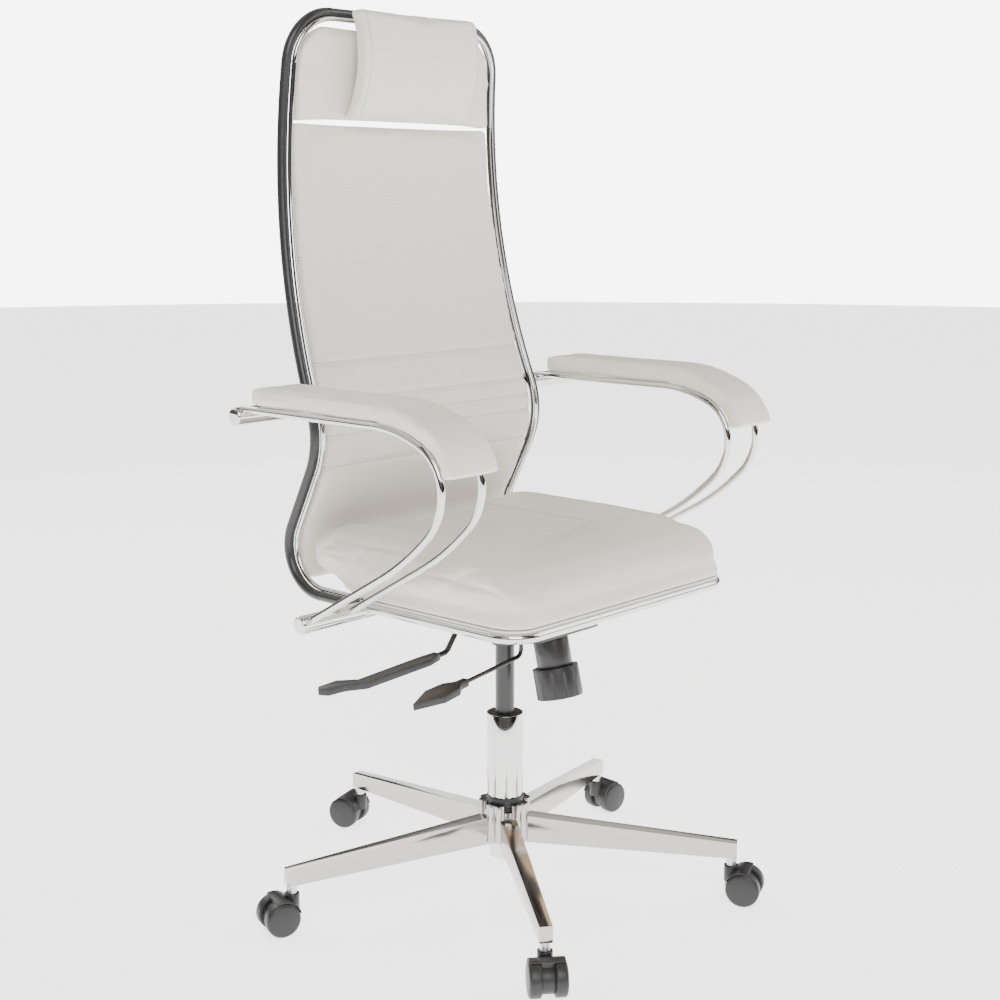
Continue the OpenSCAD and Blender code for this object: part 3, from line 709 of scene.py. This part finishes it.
@dataclass
class Hardware:
    """Every hard piece: finishes on all, rounded edges where they show."""

    rounded: dict[str, float] = field(
        default_factory=lambda: {
            "star_base": 0.0012, "tilt_housing": 0.0008, "seat_plate": 0.0006, "tension_knob": 0.0012,
            "height_lever_paddle": 0.0022, "tilt_lever_paddle": 0.0022, "tube_caps": 0.0012,
            "tension_cup": 0.0008, "column_sleeve": 0.0006, "hub_ring": 0.0005,
        }
    )

    def build(self, materials: dict[str, bpy.types.Material]) -> None:
        """Dress every hard node.

        Args:
            materials: The finishes by the record's slot names.
        """
        slots = {entry["node"]: entry["material_slot"] for entry in FRAME["record"]["subparts"]}
        home = {node: body for body, nodes in FRAME["record"]["behaviour"]["bodies"].items() for node in nodes}
        widths = dict(self.rounded)
        for number in range(1, 6):
            widths[f"castor_{number}_hood"] = 0.0012
            widths[f"castor_{number}_wheel_a"] = widths[f"castor_{number}_wheel_b"] = 0.0008
        for node, slot in slots.items():
            if slot not in materials:
                continue
            if node in widths:
                piece = bevelled(node, widths[node])
                dress(piece, materials[slot])
                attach(piece, home[node])
            else:
                dress(FRAME["nodes"][node], materials[slot])
        LOG.info("hardware: %d nodes rounded", len(widths))


@dataclass
class Studio:
    """Pale floor, soft lights, and the camera."""

    camera_at: Point = (-1.7381, -1.5700, 1.0202)
    aim: Point = (0.0, 0.0, 0.600)
    lens: float = 59.33
    shift: tuple[float, float] = (-0.0049, -0.0074)
    glow: float = 2.4
    white: float = 7.0

    def floor(self) -> None:
        """Lay a round pale floor."""
        mesh = bpy.data.meshes.new("floor")
        shape = bmesh.new()
        bmesh.ops.create_circle(shape, cap_ends=True, segments=96, radius=14.0)
        shape.to_mesh(mesh)
        shape.free()
        made = bpy.data.objects.new("floor", mesh)
        bpy.context.scene.collection.objects.link(made)
        board = Board("floor_paper")
        _, _, _, here = board.place()
        tone = board.noise(here, 3.0)
        glow = board.blend(tone, (0.98, 0.98, 0.98), (1.0, 1.0, 1.0))
        dress(made, board.surface(
            {"Roughness": 0.9, "Specular IOR Level": 0.1, "Emission Strength": self.glow},
            {"Base Color": board.blend(tone, (0.80, 0.80, 0.80), (0.82, 0.82, 0.82)), "Emission Color": glow},
        ))

    def sky(self) -> None:
        """Set a pale world whose reflections carry darker bands."""
        world = bpy.data.worlds.new("studio")
        world.use_nodes = True
        bpy.context.scene.world = world
        tree = world.node_tree
        tree.nodes.clear()
        out = tree.nodes.new("ShaderNodeOutputWorld")
        mix = tree.nodes.new("ShaderNodeMixShader")
        seen = tree.nodes.new("ShaderNodeBackground")
        room = tree.nodes.new("ShaderNodeBackground")
        path = tree.nodes.new("ShaderNodeLightPath")
        way = tree.nodes.new("ShaderNodeTexCoord")
        parts = tree.nodes.new("ShaderNodeSeparateXYZ")
        bands = tree.nodes.new("ShaderNodeValToRGB")
        seen.inputs[0].default_value = (1.0, 1.0, 1.0, 1.0)
        seen.inputs[1].default_value = self.white
        room.inputs[1].default_value = 1.3
        rise = [
            (0.0, 0.9), (0.42, 0.8), (0.47, 0.08), (0.60, 0.14), (0.67, 0.95), (0.80, 1.0), (0.87, 0.40), (1.0, 1.1),
        ]
        turn = [
            (0.0, 0.25), (0.04, 0.9), (0.20, 1.0), (0.25, 0.10), (0.31, 0.12), (0.36, 1.0), (0.56, 0.9), (0.60, 0.15),
            (0.66, 0.2), (0.70, 1.0), (0.91, 1.0), (0.95, 0.10), (1.0, 0.25),
        ]
        around = tree.nodes.new("ShaderNodeValToRGB")
        for ramp, stops in ((bands.color_ramp, rise), (around.color_ramp, turn)):
            for index, (at, level) in enumerate(stops):
                stop = ramp.elements[index] if index < len(ramp.elements) else ramp.elements.new(at)
                stop.position, stop.color = at, (level, level * 0.985, level * 0.96, 1.0)
        angle = tree.nodes.new("ShaderNodeMath")
        angle.operation = "ARCTAN2"
        turned = tree.nodes.new("ShaderNodeMath")
        turned.operation = "MULTIPLY_ADD"
        turned.inputs[1].default_value, turned.inputs[2].default_value = 0.5 / math.pi, 0.5
        both = tree.nodes.new("ShaderNodeVectorMath")
        both.operation = "MULTIPLY"
        tree.links.new(parts.outputs[1], angle.inputs[0])
        tree.links.new(parts.outputs[0], angle.inputs[1])
        tree.links.new(angle.outputs[0], turned.inputs[0])
        tree.links.new(turned.outputs[0], around.inputs[0])
        tree.links.new(bands.outputs[0], both.inputs[0])
        tree.links.new(around.outputs[0], both.inputs[1])
        half = tree.nodes.new("ShaderNodeMath")
        half.operation = "MULTIPLY_ADD"
        half.inputs[1].default_value = half.inputs[2].default_value = 0.5
        tree.links.new(way.outputs["Generated"], parts.inputs[0])
        tree.links.new(parts.outputs[2], half.inputs[0])
        tree.links.new(half.outputs[0], bands.inputs[0])
        tree.links.new(both.outputs[0], room.inputs[0])
        tree.links.new(path.outputs["Is Camera Ray"], mix.inputs[0])
        tree.links.new(room.outputs[0], mix.inputs[1])
        tree.links.new(seen.outputs[0], mix.inputs[2])
        tree.links.new(mix.outputs[0], out.inputs[0])

    def lamp(self, name: str, at: Point, size: float, watts: float) -> None:
        """Hang a soft square light aimed at the chair.

        Args:
            name: The light's name.
            at: Where it hangs, in metres.
            size: Its side in metres.
            watts: Its power.
        """
        light = bpy.data.lights.new(name, "AREA")
        light.shape, light.size, light.energy = "SQUARE", size, watts
        made = bpy.data.objects.new(name, light)
        made.location = at
        made.rotation_euler = (Vector((0.0, 0.0, 0.65)) - Vector(at)).to_track_quat("-Z", "Y").to_euler()
        bpy.context.scene.collection.objects.link(made)

    def camera(self) -> None:
        """Place the camera."""
        data = bpy.data.cameras.new("camera")
        data.sensor_width, data.lens = 36.0, self.lens
        data.shift_x, data.shift_y = self.shift
        made = bpy.data.objects.new("camera", data)
        made.location = self.camera_at
        made.rotation_euler = (Vector(self.aim) - Vector(self.camera_at)).to_track_quat("-Z", "Y").to_euler()
        bpy.context.scene.collection.objects.link(made)
        bpy.context.scene.camera = made

    def build(self) -> None:
        """Set the whole studio."""
        self.camera()
        self.floor()
        self.sky()
        self.lamp("key", (-2.2, -2.6, 2.8), 2.4, 95.0)
        self.lamp("fill", (2.6, -2.0, 2.2), 2.6, 55.0)
        self.lamp("back", (0.6, 2.8, 2.6), 2.2, 50.0)


FRAME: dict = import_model()


def main() -> None:
    """Build every sub-assembly."""
    logging.basicConfig(level=logging.INFO, format="%(relativeCreated)d ms %(name)s: %(message)s")
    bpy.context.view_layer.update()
    Studio().build()
    Hardware().build({finish.value.name: finish.value.make() for finish in Finish})
    LOG.info("studio and hardware made")
    Seat().build()
    Back().build()
    Armrests().build()


if __name__ == "__main__":
    main()
